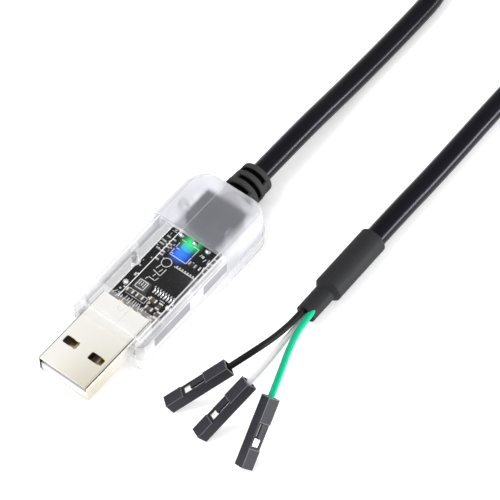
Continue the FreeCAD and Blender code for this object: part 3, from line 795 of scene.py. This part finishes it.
ink = bmesh.new()
for corners in outlines:
    for start, end in zip(corners, corners[1:]):
        stroke(ink, start, end, print_width)
for corners in fuse_marks:
    for start, end in zip(corners, corners[1:]):
        stroke(ink, start, end, print_width, fuse_top)
for x, y, length, width in marks:
    plain_box(ink, (x, y, board_top), (length, width, print_thickness))
solid_piece("board_print", ink, ink_finish())

ring = bmesh.new()
ring_section = [(ring_radius, 0.0), (ring_radius + print_width, 0.0),
                (ring_radius + print_width, print_thickness), (ring_radius, print_thickness)]
circle = [[] for corner in ring_section]
for side in range(ring_sides):
    angle = math.tau * side / ring_sides
    for corner, (radius, rise) in enumerate(ring_section):
        spot = (ring_place[0] + radius * math.cos(angle), ring_place[1] + radius * math.sin(angle),
                board_top + rise)
        circle[corner].append(ring.verts.new(metres(spot)))
for side in range(ring_sides):
    after = (side + 1) % ring_sides
    for corner in range(len(ring_section)):
        beside = (corner + 1) % len(ring_section)
        ring.faces.new((circle[corner][side], circle[corner][after], circle[beside][after],
                        circle[beside][side]))
bmesh.ops.recalc_face_normals(ring, faces=ring.faces)
solid_piece("board_ring", ring, ink_finish())

# The parts on the board: the moulded chip with its tinned leads, two lit LEDs, ceramic resistors and
# capacitors, the fuse, and the solder that holds them. Each keeps the form of its drawing.
chip_light = (2.4, -2.6)
chip_light_reach = (4.5, 4.0)


def chip_finish():
    finish = Finish("moulded_epoxy")
    spot, x, y, z = finish.place()
    grain = finish.noise(spot, 9.0, 3.0)
    lit_side = x.above(chip_light[0], chip_light_reach[0])
    lit_side = lit_side * (1.0 - y.above(chip_light[1], chip_light_reach[1]))
    dark = finish.mix(grain, (0.002, 0.002, 0.0022), (0.006, 0.006, 0.0065))
    colour = finish.mix(lit_side, dark, (0.038, 0.038, 0.040))
    return finish.surface(Base_Color=colour, Roughness=0.55, Normal=finish.bump(grain, 0.2, 0.02),
                          Specular_IOR_Level=0.03)


def plain_metal(name, colour, roughness):
    finish = Finish(name)
    spot = finish.spot()
    uneven = finish.noise(spot, 2.5)
    darker = tuple(0.85 * part for part in colour)
    return finish.surface(Base_Color=finish.mix(uneven, darker, colour), Metallic=1.0,
                          Roughness=roughness + 0.1 * uneven, Normal=finish.bump(uneven, 0.15, 0.03))


def lit_finish(name, colour):
    finish = Finish(name)
    spot, x, y, z = finish.place()
    core = finish.noise(spot, 0.8)
    glow = finish.mix(0.25 + 0.1 * core, led_glow(finish, x, y), colour)
    return finish.surface(Base_Color=(0.01, 0.02, 0.02), Roughness=0.4, Emission_Strength=1.0,
                          Emission_Color=glow, Specular_IOR_Level=0.1)


def ceramic_finish(name, dark, light):
    finish = Finish(name)
    spot = finish.spot()
    grain = finish.noise(spot, 3.0)
    return finish.surface(Base_Color=finish.mix(grain, dark, light), Roughness=0.4, Specular_IOR_Level=0.15)


dress("interface_chip", chip_finish())
dress("chip_leads", plain_metal("tinned_leads", (0.86, 0.86, 0.88), 0.3))
dress("solder_joints", plain_metal("solder", (0.86, 0.86, 0.88), 0.15))
dress("green_led", lit_finish("green_light", (0.06, 0.95, 0.42)))
dress("blue_led", lit_finish("blue_light", (0.03, 0.22, 1.0)))
dress("chip_resistors", ceramic_finish("resistor_body", (0.01, 0.01, 0.012), (0.03, 0.03, 0.033)))
dress("chip_capacitors", ceramic_finish("capacitor_body", (0.05, 0.038, 0.026), (0.13, 0.10, 0.07)))
dress("resettable_fuse", ceramic_finish("fuse_body", (0.045, 0.045, 0.048), (0.07, 0.07, 0.075)))

# The end caps of the resistors and capacitors: fired and plated metal that the solder takes to.
# Each part has one cap at either end, a little proud of its body.
cap_length = 0.32
cap_proud = 0.03
part_length = 1.6
part_width = 0.8
resistor_height = 0.45
capacitor_height = 0.8
resistor_spots = [(3.9, 0.84, "x"), (3.9, 0.64, "x"), (6.0, 0.84, "x"), (6.0, 0.64, "x"), (8.1, 0.63, "x"),
                  (5.7, -0.33, "y"), (2.8, -0.75, "x"), (5.4, -0.79, "x")]
capacitor_spots = [(17.9, 0.51, "y"), (17.9, 0.16, "y"), (16.9, -0.22, "y"), (17.4, -0.49, "x"),
                   (18.9, -0.3, "y"), (19.2, -0.63, "x")]
caps = bmesh.new()
for spots, height in ((resistor_spots, resistor_height), (capacitor_spots, capacitor_height)):
    for from_rear, share, axis in spots:
        for side in (-1, 1):
            shift = side * (part_length - cap_length) / 2
            along, wide = cap_length + cap_proud, part_width + 2 * cap_proud
            middle = [board_rear - from_rear, share * board_half, board_top]
            middle["xy".index(axis)] += shift + side * cap_proud / 2
            size = (along, wide) if axis == "x" else (wide, along)
            plain_box(caps, middle, (*size, height + cap_proud))
solid_piece("end_caps", caps, plain_metal("plated_ends", (0.80, 0.79, 0.77), 0.35))
